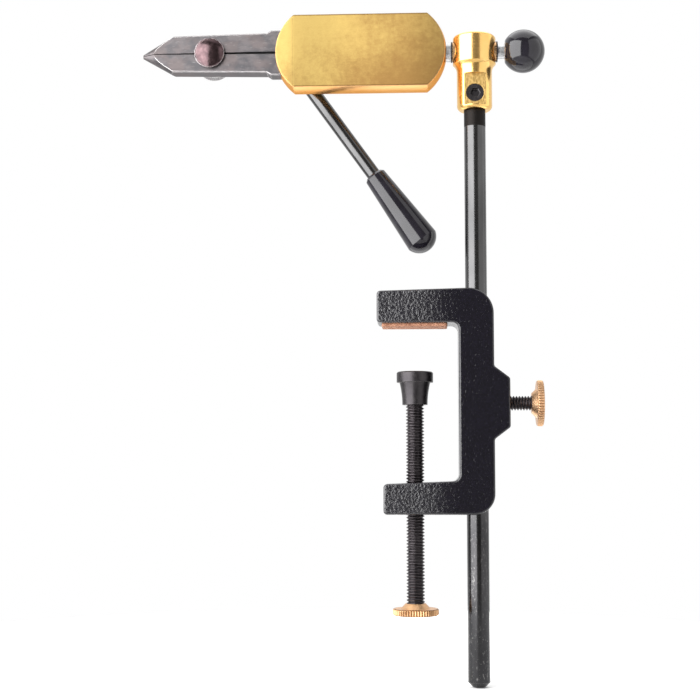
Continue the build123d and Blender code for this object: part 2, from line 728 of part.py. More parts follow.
nut_in = head_in + JAW_WASHER_T + GAP
with BuildPart() as jaw_nut:
    with BuildSketch(PIVOT_PLANE.offset(nut_in)):
        Circle(JAW_NUT_BOSS_D / 2)
    extrude(amount=JAW_NUT_BOSS)
    with BuildSketch(PIVOT_PLANE.offset(nut_in + JAW_NUT_BOSS)):
        Polygon(*knurl(JAW_NUT_D / 2, KNURL_N, KNURL_DEPTH), align=None)
    extrude(amount=JAW_NUT_T - JAW_NUT_BOSS)
    with BuildSketch(PIVOT_PLANE.offset(nut_in)):
        Circle(PIVOT_D / 2 + RUN)
    extrude(amount=JAW_NUT_T, mode=Mode.SUBTRACT)
export(jaw_nut.part, "jaw_nut")

# Jaw spring: one wire wound on biarcs of a quarter turn, standing in the two jaw pockets
spring_r = SPRING_D / 2
spring_half = SPRING_DEPTH - SPRING_WIRE / 2 - END
spring_rise = 2 * spring_half / SPRING_TURNS
spring_x = STEM_X - PIVOT - SPRING_OUT


def coil_point(turn):
    """Point and direction of the spring's centre line after a number of turns."""
    angle = 2 * pi * turn
    point = Vector(
        spring_x + spring_r * cos(angle), spring_r * sin(angle), HEAD_Z - spring_half + spring_rise * turn
    )
    slope = spring_rise / (2 * pi)
    direction = Vector(-spring_r * sin(angle), spring_r * cos(angle), slope).normalized()
    return point, direction


with BuildPart() as jaw_spring:
    with BuildLine() as wire_path:
        for quarter in range(4 * SPRING_TURNS):
            start, start_dir = coil_point(quarter / 4)
            stop, stop_dir = coil_point((quarter + 1) / 4)
            span = stop - start
            along = span.dot(start_dir + stop_dir)
            bend = 2 * (1 - start_dir.dot(stop_dir))
            reach = (sqrt(along ** 2 + bend * span.dot(span)) - along) / bend
            knee = ((start + start_dir * reach) + (stop - stop_dir * reach)) * 0.5
            knee_dir = (stop - stop_dir * reach) - (start + start_dir * reach)
            TangentArc(start, knee, tangent=start_dir)
            TangentArc(knee, stop, tangent=knee_dir)
    first, first_dir = coil_point(0)
    with BuildSketch(Plane(origin=first, z_dir=first_dir)):
        Circle(SPRING_WIRE / 2)
    sweep(path=wire_path.wire())
export(jaw_spring.part, "jaw_spring")
print("spring gap between turns, mm:", round(spring_rise - SPRING_WIRE, 3))

# Cam shaft: near journal, lobe between the jaw tails, far journal and lever hub
far_in = slot_half + RUN
far_out = HUB_Y - HUB_L / 2
with BuildPart() as cam_shaft:
    with BuildSketch(CAM_PLANE.offset(-slot_half - JOURNAL_NEAR_L)):
        Circle(CAM_NECK_D / 2)
    extrude(amount=slot_half + JOURNAL_NEAR_L + far_in)
    with BuildSketch(CAM_PLANE):
        Ellipse(CAM_MINOR, CAM_MAJOR)
    extrude(amount=CAM_W / 2, both=True)
    with BuildSketch(CAM_PLANE.offset(far_in)):
        Circle(JOURNAL_FAR_D / 2)
    extrude(amount=far_out - far_in)
    with BuildSketch(CAM_PLANE.offset(far_out)):
        Circle(HUB_D / 2)
    extrude(amount=HUB_L)
    with BuildSketch(Plane(LEVER.origin, z_dir=LEVER_DIR)):
        Circle(ROD_TENON_D / 2 + FIT)
    extrude(amount=HUB_D, mode=Mode.SUBTRACT)
export(cam_shaft.part, "cam_shaft")

# Lever rod, handle and its insert
rod_shoulder = HUB_D / 2 + GAP
rod_end = HANDLE_START + ROD_IN_HANDLE
with BuildPart() as lever_rod:
    with BuildSketch(LEVER):
        with BuildLine():
            Polyline(
                (END, 0),
                (END, ROD_TENON_D / 2),
                (rod_shoulder, ROD_TENON_D / 2),
                (rod_shoulder, ROD_D / 2),
                (HANDLE_START - GAP, ROD_D / 2),
                (HANDLE_START - GAP, ROD_TIP_D / 2),
                (rod_end, ROD_TIP_D / 2),
                (rod_end, 0),
                close=True,
            )
        make_face()
    revolve(axis=TURN_LEVER)
export(lever_rod.part, "lever_rod")

handle_end = HANDLE_START + HANDLE_L
swell = HANDLE_START + HANDLE_SWELL
with BuildPart() as lever_handle:
    with BuildSketch(LEVER):
        with BuildLine():
            Polyline(
                (handle_end, 0),
                (HANDLE_START, 0),
                (HANDLE_START, HANDLE_D / 2 - HANDLE_EDGE),
                (HANDLE_START + HANDLE_EDGE, HANDLE_D / 2),
                (swell, HANDLE_END_D / 2),
            )
            TangentArc((handle_end, 0), (swell, HANDLE_END_D / 2), tangent=(0, 1))
        make_face()
    revolve(axis=TURN_LEVER)
    with BuildSketch(Plane(LEVER.origin + LEVER_DIR * HANDLE_START, z_dir=LEVER_DIR)):
        Circle(HANDLE_INSERT_D / 2 + FIT)
    extrude(amount=HANDLE_INSERT_L + FIT, mode=Mode.SUBTRACT)
export(lever_handle.part, "lever_handle")

with BuildPart() as handle_insert:
    with BuildSketch(Plane(LEVER.origin + LEVER_DIR * HANDLE_START, z_dir=LEVER_DIR)):
        Circle(HANDLE_INSERT_D / 2)
    extrude(amount=HANDLE_INSERT_L)
    with BuildSketch(Plane(LEVER.origin + LEVER_DIR * HANDLE_START, z_dir=LEVER_DIR)):
        Circle(ROD_TIP_D / 2 + FIT)
    extrude(amount=ROD_IN_HANDLE + END, mode=Mode.SUBTRACT)
export(handle_insert.part, "handle_insert")
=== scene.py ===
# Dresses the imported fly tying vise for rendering: materials, true screw threads, a leather pad,
# light and the camera of the photograph
import json
import math

import bmesh
import bpy
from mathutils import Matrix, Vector, noise

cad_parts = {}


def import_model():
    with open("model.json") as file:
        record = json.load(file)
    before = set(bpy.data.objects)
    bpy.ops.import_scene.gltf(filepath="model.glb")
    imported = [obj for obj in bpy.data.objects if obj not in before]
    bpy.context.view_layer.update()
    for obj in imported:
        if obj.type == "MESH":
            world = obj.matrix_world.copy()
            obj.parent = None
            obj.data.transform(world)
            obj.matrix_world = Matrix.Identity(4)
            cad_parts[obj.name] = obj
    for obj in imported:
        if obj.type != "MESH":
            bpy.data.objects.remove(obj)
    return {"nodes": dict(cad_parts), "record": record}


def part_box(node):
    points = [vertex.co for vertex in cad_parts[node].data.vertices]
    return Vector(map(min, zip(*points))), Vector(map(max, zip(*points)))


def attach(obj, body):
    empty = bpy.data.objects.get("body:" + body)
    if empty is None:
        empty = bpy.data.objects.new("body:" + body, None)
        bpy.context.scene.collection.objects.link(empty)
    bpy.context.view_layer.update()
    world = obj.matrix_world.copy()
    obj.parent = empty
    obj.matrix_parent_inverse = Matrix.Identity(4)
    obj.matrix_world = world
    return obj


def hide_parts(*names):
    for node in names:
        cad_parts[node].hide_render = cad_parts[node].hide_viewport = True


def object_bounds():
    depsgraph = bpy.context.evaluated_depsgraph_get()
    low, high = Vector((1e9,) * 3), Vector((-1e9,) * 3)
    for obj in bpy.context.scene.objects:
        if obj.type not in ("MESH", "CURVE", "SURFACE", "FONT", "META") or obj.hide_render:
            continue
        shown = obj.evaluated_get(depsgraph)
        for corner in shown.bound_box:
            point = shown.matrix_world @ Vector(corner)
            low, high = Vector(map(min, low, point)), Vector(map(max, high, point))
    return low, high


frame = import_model()
CAD_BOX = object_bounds()
NODES = frame["nodes"]
MM = 0.001

# Threads and screw ends, after the CAD screws
CLAMP_PITCH = 1.411 * MM
LOCK_PITCH = 1.27 * MM
THREAD_DEPTH = 0.6      # of the pitch
THREAD_CREST = 0.16     # of the pitch
THREAD_STEEP = 1.08     # how much sooner than a plain V the flank reaches the root
THREAD_SIDES = 56
THREAD_ROWS = 8         # rows of vertices to a pitch
END_FACE = 0.6          # radius of a screw's end face, of the end's own radius
SWIVEL_R = 3.55 * MM
SWIVEL_NECK_R = 2.7 * MM
SWIVEL_START = 0.3 * MM     # thread's end below the pad
PIN_PLAY = 0.1 * MM
TAIL_R = 3.3 * MM
LOCK_TIP_R = 2.3 * MM
LOCK_TIP_L = 1.2 * MM
LOCK_TAIL_R = 2.5 * MM

# Other CAD sizes that the materials follow
KNURL_DEPTH = 0.45 * MM
NOSE_BEVEL_L = 8.4 * MM
SET_SCREW_SINK = 0.2 * MM

# Where finishes change, from the frame's origin or from a CAD box
STEM_SCUFF_FROM = -60.0 * MM
STEM_SCUFF_FULL = -95.0 * MM
STEM_DULL_BELOW_YOKE = 7.2 * MM
SPINE_AHEAD_OF_STEM = 4.0 * MM      # about where the spine's front is
WRINKLE_FROM = 6.0 * MM     # from the spine's front, toward the stem
WRINKLE_FULL = -20.0 * MM

# Leather pad
LEATHER_CORNER = 1.5 * MM
LEATHER_RIM = 0.35 * MM
LEATHER_WANDER = 0.16 * MM
LEATHER_INSET = 0.12 * MM
LEATHER_FACE_SKIN = 0.05 * MM   # left flat next to the upper and lower face
LEATHER_WANDER_SCALE = 700.0

# Floor
FLOOR_RADIUS = 0.32
FLOOR_SIDES = 96
FLOOR_DROP = 0.4 * MM
FLOOR_GREY_TO = -0.10       # along Y, grey in front of it
FLOOR_WHITE_FROM = -0.02
FLOOR_GLOW_FROM = 0.0
FLOOR_GLOW_FULL = 0.25
FLOOR_GLOW = 0.75

# Dim room in front and white dome behind, by the Y of the direction
ROOM_TO = -0.25
DOME_FROM = 0.45
ROOM_COLOUR = (0.25, 0.24, 0.23, 1.0)
DOME_COLOUR = (1.0, 1.0, 1.0, 1.0)

# The photograph's camera, fitted to points of the model, and its 700 x 700 image
CAMERA_AZIMUTH = 3.0
CAMERA_ELEVATION = -5.0
CAMERA_DISTANCE = 0.600
CAMERA_TARGET = Vector((-0.0284, 0.0, -0.0097))
CAMERA_FOCAL_PX = 1366.0
IMAGE_PX = 700.0
SENSOR_MM = 36.0
CLIP_START = 0.01

# Soft lights: place and size in metres, power in watts
LIGHT_AIM = Vector((-0.02, 0.0, 0.05))
LIGHTS = {
    "window_left": ((-0.78, -0.64, 0.14), (1.40, 1.90), 52.0),
    "panel_right": ((0.90, -0.39, 0.12), (1.50, 2.00), 10.0),
    "overhead": ((0.0, 0.10, 1.00), (1.20, 1.20), 7.0),
}


# Node helpers


class Shader:
    """A material's node tree with short calls for the nodes used here."""

    def __init__(self, name):
        self.material = bpy.data.materials.new(name)
        self.material.use_nodes = True
        self.tree = self.material.node_tree
        self.bsdf = self.tree.nodes["Principled BSDF"]
        self.coords = self.tree.nodes.new("ShaderNodeTexCoord")

    def link(self, source, target):
        self.tree.links.new(source, target)

    def node(self, kind, **settings):
        made = self.tree.nodes.new(kind)
        for key, value in settings.items():
            setattr(made, key, value)
        return made

    def stretched(self, scale):
        """Object coordinates stretched by a scale along each axis."""
        mapping = self.node("ShaderNodeMapping")
        mapping.inputs["Scale"].default_value = scale
        self.link(self.coords.outputs["Object"], mapping.inputs["Vector"])
        return mapping.outputs["Vector"]

    def noise(self, scale, stretch=(1, 1, 1), detail=4.0, rough=0.55, distortion=0.0):
        made = self.node("ShaderNodeTexNoise")
        made.inputs["Scale"].default_value = scale
        made.inputs["Detail"].default_value = detail
        made.inputs["Roughness"].default_value = rough
        made.inputs["Distortion"].default_value = distortion
        self.link(self.stretched(stretch), made.inputs["Vector"])
        return made.outputs["Fac"]

    def voronoi(self, scale, feature="F1"):
        made = self.node("ShaderNodeTexVoronoi", feature=feature)
        made.inputs["Scale"].default_value = scale
        self.link(self.coords.outputs["Object"], made.inputs["Vector"])
        return made.outputs["Distance"]

    def band(self, value, low, high, to_low=0.0, to_high=1.0):
        """Value mapped smoothly from [low, high] to [to_low, to_high]."""
        made = self.node("ShaderNodeMapRange", interpolation_type="SMOOTHSTEP")
        made.inputs["From Min"].default_value = low
        made.inputs["From Max"].default_value = high
        made.inputs["To Min"].default_value = to_low
        made.inputs["To Max"].default_value = to_high
        self.link(value, made.inputs["Value"])
        return made.outputs["Result"]

    def math(self, operation, a, b):
        made = self.node("ShaderNodeMath", operation=operation)
        for socket, value in zip(made.inputs, (a, b)):
            if isinstance(value, (int, float)):
                socket.default_value = value
            else:
                self.link(value, socket)
        return made.outputs["Value"]

    def absolute(self, value):
        return self.math("ABSOLUTE", value, 0.0)

    def total(self, *weighted):
        """The sum of (socket, weight) pairs."""
        made = None
        for value, weight in weighted:
            part = self.math("MULTIPLY", value, weight)
            made = part if made is None else self.math("ADD", made, part)
        return made

    def blend(self, factor, a, b):
        """Values a to b by a factor; each is a socket or a number."""
        made = self.node("ShaderNodeMix", data_type="FLOAT")
        self.link(factor, made.inputs["Factor"])
        for socket, value in zip((made.inputs[2], made.inputs[3]), (a, b)):
            if isinstance(value, (int, float)):
                socket.default_value = value
            else:
                self.link(value, socket)
        return made.outputs[0]

    def mix(self, factor, a, b):
        """Colours a to b by a factor; each is a socket or an (r, g, b)."""
        made = self.node("ShaderNodeMix", data_type="RGBA")
        self.link(factor, made.inputs["Factor"])
        for socket, value in zip((made.inputs[6], made.inputs[7]), (a, b)):
            if isinstance(value, tuple):
                socket.default_value = (*value, 1.0)
            else:
                self.link(value, socket)
        return made.outputs[2]

    def axis(self, name, kind="Object"):
        """One component, X, Y or Z, of the object's coordinates or its own normal."""
        made = self.node("ShaderNodeSeparateXYZ")
        self.link(self.coords.outputs[kind], made.inputs["Vector"])
        return made.outputs[name]

    def edges(self, radius, full=0.86):
        """1 on the edges and 0 on the faces within a radius, with the rounded normal.

        full is the cosine of the turn from the face at which an edge counts in full.
        """
        bevel = self.node("ShaderNodeBevel", samples=6)
        bevel.inputs["Radius"].default_value = radius
        geometry = self.node("ShaderNodeNewGeometry")
        dot = self.node("ShaderNodeVectorMath", operation="DOT_PRODUCT")
        self.link(bevel.outputs["Normal"], dot.inputs[0])
        self.link(geometry.outputs["Normal"], dot.inputs[1])
        return self.band(dot.outputs["Value"], 0.995, full), bevel.outputs["Normal"]

    def bump(self, height, strength, distance, normal=None):
        made = self.node("ShaderNodeBump")
        made.inputs["Strength"].default_value = strength
        made.inputs["Distance"].default_value = distance
        self.link(height, made.inputs["Height"])
        if normal is not None:
            self.link(normal, made.inputs["Normal"])
        self.link(made.outputs["Normal"], self.bsdf.inputs["Normal"])

    def finish(self, colour, roughness, metallic=1.0, specular=0.5):
        self.link(colour, self.bsdf.inputs["Base Color"])
        self.link(roughness, self.bsdf.inputs["Roughness"])
        self.bsdf.inputs["Metallic"].default_value = metallic
        self.bsdf.inputs["Specular IOR Level"].default_value = specular
        return self.material


# Materials


def metal(name, dark, light, rough, grain, grain_scale, edge_wear_and_highlight, edge=0.22 * MM, bump=0.05):
    """A machined metal: stretched grain, cloudy tone, brighter edges from wear and a painted edge
    highlight.
    """
    shader = Shader(name)
    lines = shader.noise(grain_scale, grain, detail=3.0)
    cloud = shader.noise(90.0, detail=3.0)
    tone = shader.total((lines, 0.6), (cloud, 0.4))
    edge_mask, rounded = shader.edges(edge)
    colour = shader.mix(shader.band(tone, 0.32, 0.68), dark, light)
    # Edges painted brighter: partly wear, partly a painted edge highlight.
    colour = shader.mix(edge_mask, colour, edge_wear_and_highlight)
    roughness = shader.band(tone, 0.3, 0.7, rough[0], rough[1])
    shader.bump(lines, bump, 0.02 * MM, rounded)
    return shader.finish(colour, roughness)


def body_brass():
    """Flats brushed along the bar, matte and a little tarnished, with painted shade toward the back,
    the bottom and the nose and painted highlights on the edges; turned surfaces smoother.
    """
    shader = Shader("body_brass")
    lines = shader.noise(1100.0, (0.10, 1, 1), detail=5.0, rough=0.6)
    cloud = shader.noise(55.0, detail=4.0)
    mottle = shader.noise(430.0, detail=6.0, rough=0.7)
    fine = shader.noise(3200.0, (0.5, 1, 1), detail=2.0)
    box_low, box_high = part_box("head_body")
    size, middle = (box_high - box_low) / 2, (box_high + box_low) / 2
    flat_top = math.sqrt(size.z ** 2 - size.y ** 2)
    # Painted shade: the flats darken toward the back end and toward the bottom, on top of their random
    # tone.
    rear = shader.band(shader.axis("X"), box_low.x, box_high.x)
    under = shader.band(shader.axis("Z"), box_high.z, box_low.z)
    darkening = shader.total((rear, 0.48), (under, 0.26), (cloud, 0.55), (lines, 0.10), (mottle, 0.55))
    flat = shader.band(shader.absolute(shader.axis("Y", "Normal")), 0.55, 0.75)
    along = shader.axis("X")
    bevel_from = box_low.x + NOSE_BEVEL_L
    bevel = shader.band(along, bevel_from + 0.4 * MM, bevel_from - 0.4 * MM)
    # Painted shade on the nose bevel, on the flat just behind it and at the back end, mixed toward
    # black.
    bevel_shade = shader.band(along, bevel_from, bevel_from - 4.0 * MM, 0.36, 0.24)
    front_shade = shader.band(along, bevel_from + 34.0 * MM, bevel_from + 6.0 * MM, 0.0, 0.24)
    front_shade = shader.math("MULTIPLY", front_shade, shader.math("SUBTRACT", 1.0, bevel))
    rear_shade = shader.band(along, box_high.x - 22.0 * MM, box_high.x - 2.0 * MM, 0.0, 0.26)
    shade = shader.math("MAXIMUM", shader.math("MULTIPLY", bevel, bevel_shade), front_shade)
    shade = shader.math("MAXIMUM", shade, rear_shade)
    matte = shader.mix(shader.band(darkening, 0.62, 1.34), (0.53, 0.385, 0.128), (0.285, 0.168, 0.056))
    matte = shader.mix(shade, matte, (0.0, 0.0, 0.0))
    off_middle = shader.absolute(shader.math("SUBTRACT", shader.axis("Z"), middle.z))
    # Painted shade: a thin dark line along the flat's top and bottom edges.
    line = shader.band(off_middle, flat_top - 0.7 * MM, flat_top - 0.2 * MM)
    matte = shader.mix(shader.math("MULTIPLY", line, 0.75), matte, (0.17, 0.095, 0.03))
    polished = shader.mix(shader.band(cloud, 0.35, 0.66), (0.74, 0.39, 0.155), (0.80, 0.46, 0.205))
    shader.bsdf.inputs["Specular Tint"].default_value = (0.84, 0.56, 0.30, 1.0)
    edge_mask, rounded = shader.edges(1 * MM)
    inside = shader.band(off_middle, flat_top - 1.0 * MM, flat_top - 2.0 * MM, 0.0, 0.3)
    edge_mask = shader.math("MULTIPLY", edge_mask, inside)
    # Edges painted near white: partly wear, partly a painted edge highlight.
    colour = shader.mix(edge_mask, shader.mix(flat, polished, matte), (0.98, 0.82, 0.46))
    rough_flat = shader.band(fine, 0.3, 0.7, 0.56, 0.64)
    rough_turned = shader.band(lines, 0.3, 0.7, 0.29, 0.36)
    shader.bump(fine, 0.10, 0.02 * MM, rounded)
    return shader.finish(colour, shader.blend(flat, rough_turned, rough_flat))


def yoke_brass():
    """Turned and polished brass, with the milled flat round the set screw left matte."""
    shader = Shader("polished_brass")
    rings = shader.noise(900.0, (0.25, 0.25, 1), detail=3.0)
    cloud = shader.noise(90.0, detail=3.0)
    milled = shader.noise(1500.0, (1, 1, 0.4), detail=4.0)
    flat_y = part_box("yoke_set_screw")[0].y - SET_SCREW_SINK
    off_flat = shader.absolute(shader.math("SUBTRACT", shader.axis("Y"), flat_y))
    facing = shader.band(shader.absolute(shader.axis("Y", "Normal")), 0.98, 0.995)
    flat = shader.math("MULTIPLY", facing, shader.band(off_flat, 0.12 * MM, 0.06 * MM))
    edge_mask, rounded = shader.edges(0.3 * MM)
    polished = shader.mix(shader.band(cloud, 0.3, 0.7), (0.81, 0.50, 0.160), (0.86, 0.55, 0.195))
    matte = shader.mix(shader.band(milled, 0.35, 0.65), (0.40, 0.255, 0.085), (0.62, 0.42, 0.155))
    # Edges painted brighter: partly wear, partly a painted edge highlight.
    colour = shader.mix(shader.math("MULTIPLY", edge_mask, 0.5), polished, (0.98, 0.74, 0.36))
    colour = shader.mix(flat, colour, matte)
    rough_turned = shader.band(rings, 0.3, 0.7, 0.18, 0.24)
    rough_flat = shader.band(milled, 0.3, 0.7, 0.42, 0.55)
    shader.bump(shader.math("MULTIPLY", milled, flat), 0.3, 0.03 * MM, rounded)
    return shader.finish(colour, shader.blend(flat, rough_turned, rough_flat))


def ground_steel(name, dull_above=None):
    """Dark ground bar, darker towards the bottom and scuffed where it slides low down, and dull black
    above a height.
    """
    shader = Shader(name)
    rings = shader.noise(1400.0, (0.3, 0.3, 1), detail=4.0)
    cloud = shader.noise(70.0, (1, 1, 0.4), detail=4.0)
    height = shader.axis("Z")
    low = shader.band(height, STEM_SCUFF_FROM, STEM_SCUFF_FULL)
    scuff = shader.band(shader.noise(1100.0, (1, 1, 0.30), detail=6.0, rough=0.7), 0.57, 0.68)
    specks = shader.band(shader.noise(1500.0, detail=2.0), 0.66, 0.72)
    marks = shader.math("MULTIPLY", shader.math("MAXIMUM", scuff, specks), low)
    edge_mask, rounded = shader.edges(0.3 * MM)
    colour = shader.mix(shader.band(cloud, 0.3, 0.7), (0.068, 0.068, 0.069), (0.098, 0.097, 0.098))
    # Darker towards the bottom, from the height where the scuffs start.
    lower_dark = shader.mix(shader.band(cloud, 0.3, 0.7), (0.034, 0.034, 0.036), (0.056, 0.055, 0.057))
    colour = shader.mix(low, colour, lower_dark)
    colour = shader.mix(shader.math("MULTIPLY", marks, 0.55), colour, (0.27, 0.265, 0.26))
    # Edges painted lighter: partly wear, partly a painted edge highlight.
    colour = shader.mix(edge_mask, colour, (0.22, 0.22, 0.22))
    roughness = shader.band(rings, 0.3, 0.7, 0.17, 0.23)
    if dull_above is not None:
        dull = shader.band(height, dull_above - 0.2 * MM, dull_above)
        colour = shader.mix(dull, colour, (0.018, 0.016, 0.015))
        roughness = shader.blend(dull, roughness, 0.55)
    shader.bump(shader.math("ADD", rings, marks), 0.04, 0.01 * MM, rounded)
    return shader.finish(colour, roughness)


def crackle_enamel():
    """Glossy black wrinkle enamel on the casting: low folds that catch the light in specks."""
    shader = Shader("black_cast")
    folds = shader.noise(860.0, detail=2.0, rough=0.55, distortion=1.0)
    cells = shader.voronoi(1050.0, "SMOOTH_F1")
    spine_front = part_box("stem")[0].x - SPINE_AHEAD_OF_STEM
    arms = shader.band(shader.axis("X"), spine_front + WRINKLE_FROM, spine_front + WRINKLE_FULL)
    depth = shader.band(arms, 0.0, 1.0, 0.42, 1.0)
    height = shader.math("MULTIPLY", shader.total((folds, 1.0), (cells, -0.4)), depth)
    edge_mask, rounded = shader.edges(0.5 * MM)
    tone = shader.band(folds, 0.35, 0.65)
    colour = shader.mix(tone, (0.0012, 0.0009, 0.0032), (0.0030, 0.0024, 0.0062))
    rubbed = shader.math("MULTIPLY", edge_mask, shader.band(shader.noise(240.0), 0.50, 0.62))
    colour = shader.mix(rubbed, colour, (0.045, 0.048, 0.054))
    roughness = shader.band(arms, 0.0, 1.0, 0.12, 0.20)
    shader.bump(height, 1.0, 0.25 * MM, rounded)
    shader.link(shader.band(arms, 0.0, 1.0, 0.62, 0.92), shader.bsdf.inputs["Specular IOR Level"])
    return shader.finish(colour, roughness, metallic=0.0)


def jaw_steel():
    """Hardened jaws: mottled satin faces, edges painted bright for bare ground steel and a painted edge
    highlight, painted shade in the seam.
    """
    shader = Shader("jaw_steel")
    patches = shader.noise(330.0, (0.6, 1, 1), detail=5.0, rough=0.6)
    warm = shader.noise(120.0, detail=3.0)
    scratches = shader.noise(2600.0, (0.15, 1, 1), detail=3.0)
    edge_mask, rounded = shader.edges(0.4 * MM, full=0.95)
    colour = shader.mix(shader.band(patches, 0.35, 0.65), (0.084, 0.081, 0.086), (0.132, 0.121, 0.124))
    colour = shader.mix(shader.band(warm, 0.45, 0.65, 0.0, 0.35), colour, (0.150, 0.117, 0.111))
    colour = shader.mix(shader.band(scratches, 0.64, 0.70, 0.0, 0.35), colour, (0.27, 0.27, 0.27))
    split = (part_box("upper_jaw")[0].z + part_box("lower_jaw")[1].z) / 2
    off_split = shader.absolute(shader.math("SUBTRACT", shader.axis("Z"), split))
    edge_mask = shader.math("MULTIPLY", edge_mask, shader.band(off_split, 0.8 * MM, 1.8 * MM))
    # Edges painted bright: partly bare ground steel, partly a painted edge highlight, kept off the
    # seam.
    colour = shader.mix(edge_mask, colour, (0.70, 0.68, 0.68))
    # Painted shade: the level faces at the seam turn near black.
    level = shader.band(shader.absolute(shader.axis("Z", "Normal")), 0.90, 0.97)
    seam = shader.math("MULTIPLY", level, shader.band(off_split, 0.9 * MM, 0.8 * MM))
    colour = shader.mix(seam, colour, (0.004, 0.004, 0.004))
    satin = shader.band(patches, 0.3, 0.7, 0.42, 0.54)
    roughness = shader.math("MAXIMUM", satin, shader.math("MULTIPLY", edge_mask, 0.55))
    shader.bump(patches, 0.06, 0.02 * MM, rounded)
    return shader.finish(colour, roughness)


def phenolic():
    """Glossy black moulding with faint cloudy polish and hairline scratches."""
    shader = Shader("phenolic")
    cloud = shader.noise(140.0, detail=4.0)
    hairs = shader.noise(900.0, (0.08, 1, 0.3), detail=5.0)
    edge_mask, rounded = shader.edges(0.3 * MM)
    colour = shader.mix(shader.band(cloud, 0.3, 0.7), (0.0055, 0.0048, 0.0075), (0.011, 0.0098, 0.0145))
    # Edges painted lighter: partly wear, partly a painted edge highlight.
    colour = shader.mix(shader.math("MULTIPLY", edge_mask, 0.4), colour, (0.05, 0.05, 0.05))
    roughness = shader.band(shader.math("MULTIPLY", cloud, hairs), 0.15, 0.4, 0.08, 0.16)
    shader.bump(hairs, 0.02, 0.004 * MM, rounded)
    return shader.finish(colour, roughness, metallic=0.0, specular=0.5)


def knurled_brass(name, node, across, dark, light, darkening):
    """Satin brass, darker in the grooves of a knurled rim, with brighter edges from wear and a painted
    edge highlight.

    across names the two axes of the rim's plane, dark and light are the ends of its cloudy tone
    and the last argument is how far the grooves turn dark.
    """
    shader = Shader(name)
    low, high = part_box(node)
    radius = (high.y - low.y) / 2
    squares = []
    for letter in across:
        at = getattr((low + high) / 2, letter.lower())
        squares.append(shader.math("POWER", shader.math("SUBTRACT", shader.axis(letter), at), 2.0))
    reach = shader.math("SQRT", shader.math("ADD", *squares), 0.0)
    groove = shader.band(reach, radius - 0.3 * KNURL_DEPTH, radius - 0.8 * KNURL_DEPTH)
    rim = shader.band(reach, radius - 1.7 * KNURL_DEPTH, radius - 1.2 * KNURL_DEPTH)
    cloud = shader.noise(260.0, detail=4.0)
    grain = shader.noise(1300.0, detail=3.0)
    edge_mask, rounded = shader.edges(0.2 * MM)
    colour = shader.mix(shader.band(cloud, 0.35, 0.65), dark, light)
    # Edges painted brighter: partly wear, partly a painted edge highlight.
    colour = shader.mix(shader.math("MULTIPLY", edge_mask, 0.5), colour, (0.84, 0.60, 0.38))
    # The rim's grooves turn darker.
    groove_dark = shader.math("MULTIPLY", shader.math("MULTIPLY", groove, rim), darkening)
    colour = shader.mix(groove_dark, colour, (0.24, 0.115, 0.045))
    roughness = shader.band(grain, 0.3, 0.7, 0.32, 0.44)
    shader.bump(grain, 0.03, 0.02 * MM, rounded)
    return shader.finish(colour, roughness)


def leather():
    """Cut leather: fibrous orange-brown with fine pores and paler edges."""
    shader = Shader("pad_leather")
    fibres = shader.noise(1300.0, (0.8, 1, 1), detail=8.0, rough=0.75, distortion=0.6)
    cloud = shader.noise(260.0, detail=4.0)
    pores = shader.voronoi(1500.0, "SMOOTH_F1")
    tone = shader.total((fibres, 0.6), (cloud, 0.4))
    edge_mask, rounded = shader.edges(0.4 * MM)
    colour = shader.mix(shader.band(tone, 0.32, 0.66), (0.21, 0.084, 0.048), (0.50, 0.255, 0.160))
    colour = shader.mix(edge_mask, colour, (0.52, 0.29, 0.19))
    roughness = shader.band(tone, 0.3, 0.7, 0.86, 0.70)
    shader.bump(shader.total((fibres, 1.0), (pores, 0.5)), 0.8, 0.25 * MM, rounded)
    return shader.finish(colour, roughness, metallic=0.0, specular=0.25)


MATERIALS = {
    "black_cast": crackle_enamel(),
    "pad_leather": leather(),
    "body_brass": body_brass(),
    "stem_steel": ground_steel("stem_steel", dull_above=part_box("yoke")[0].z - STEM_DULL_BELOW_YOKE),
    "rod_steel": ground_steel("rod_steel"),
    "phenolic": phenolic(),
    "black_steel": metal(
        "black_steel", (0.040, 0.037, 0.040), (0.058, 0.054, 0.056), (0.34, 0.44), (1, 1, 1), 500.0,
        (0.17, 0.16, 0.16), bump=0.03,
    ),
    "jaw_steel": jaw_steel(),
    "domed_steel": metal(
        "domed_steel", (0.055, 0.037, 0.040), (0.130, 0.085, 0.090), (0.16, 0.26), (1, 1, 1), 420.0,
        (0.80, 0.76, 0.76), edge=0.3 * MM, bump=0.25,
    ),
    "bright_steel": metal(
        "bright_steel", (0.42, 0.43, 0.44), (0.54, 0.55, 0.56), (0.30, 0.40), (1, 0.3, 0.3), 900.0,
        (0.85, 0.85, 0.86),
    ),
    "polished_brass": yoke_brass(),
    "knurled_brass": metal(
        "knurled_brass", (0.44, 0.238, 0.098), (0.50, 0.285, 0.124), (0.34, 0.44), (1, 1, 1), 400.0,
        (0.62, 0.43, 0.22), bump=0.01,
    ),
    "thumb_brass": knurled_brass(
        "thumb_brass", "clamp_thumb_nut", "XY", (0.66, 0.385, 0.200), (0.76, 0.465, 0.255), 1.0,
    ),
    "knob_brass": knurled_brass(
        "knob_brass", "lock_knob", "YZ", (0.68, 0.41, 0.23), (0.76, 0.48, 0.28), 0.5,
    ),
    "thread_steel": metal(
        "thread_steel", (0.052, 0.046, 0.050), (0.080, 0.072, 0.076), (0.30, 0.40), (1, 1, 1), 500.0,
        (0.22, 0.20, 0.20), bump=0.03,
    ),
    "bronze": metal(
        "bronze", (0.40, 0.24, 0.12), (0.58, 0.38, 0.20), (0.25, 0.40), (1, 1, 1), 700.0,
        (0.80, 0.60, 0.38),
    ),
}
SLOTS = {entry["node"]: entry["material_slot"] for entry in frame["record"]["subparts"]}
